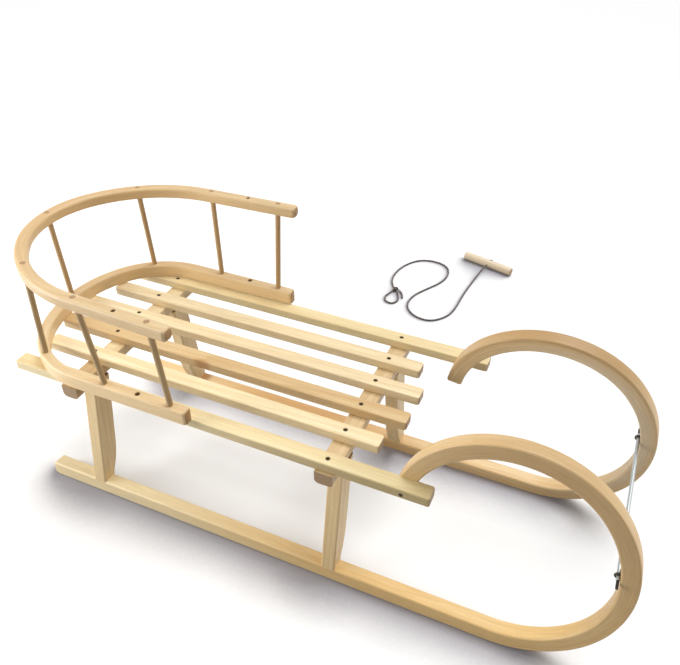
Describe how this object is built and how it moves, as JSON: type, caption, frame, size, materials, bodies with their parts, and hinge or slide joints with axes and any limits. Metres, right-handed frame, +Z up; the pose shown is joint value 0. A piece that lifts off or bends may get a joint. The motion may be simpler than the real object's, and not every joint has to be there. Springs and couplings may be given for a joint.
{
  "type": "wooden horn sled with backrest",
  "caption": "Wooden sled on two bent runners that curl into horns, with a slatted seat, a spindle backrest and a loose pull cord with a handle.",
  "frame": {"origin": "on the ground, midway between the sled's sides and midway between the back of the backrest and the front of the horns; the loose cord isn't counted", "axes": "+X forward along the runners, +Y to the sled's left, +Z up"},
  "size_m": [1.1274, 1.2011, 0.494],
  "materials": {
    "bent_beech": "satin",
    "seat_wood": "satin",
    "frame_wood": "satin",
    "spindle_wood": "satin",
    "handle_wood": "satin",
    "steel": "satin",
    "cord": "matte"
  },
  "bodies": {
    "root": {"cord_loop_knot": "cord", "cord_stop_knot": "cord", "crossbar_front": "frame_wood", "crossbar_rear": "frame_wood", "hoop_lower": "bent_beech", "hoop_upper": "bent_beech", "leg_front_left": "frame_wood", "leg_front_right": "frame_wood", "leg_rear_left": "frame_wood", "leg_rear_right": "frame_wood", "pull_cord": "cord", "pull_handle": "handle_wood", "pull_rod": "steel", "rail_left": "seat_wood", "rail_right": "seat_wood", "runner_left": "bent_beech", "runner_right": "bent_beech", "slat_left_inner": "seat_wood", "slat_left_outer": "seat_wood", "slat_right_inner": "seat_wood", "slat_right_outer": "seat_wood", "spindle_back": "spindle_wood", "spindle_left_front": "spindle_wood", "spindle_left_middle": "spindle_wood", "spindle_left_rear": "spindle_wood", "spindle_right_front": "spindle_wood", "spindle_right_middle": "spindle_wood", "spindle_right_rear": "spindle_wood", "staple_left": "steel", "staple_right": "steel"}
  },
  "joints": []
}
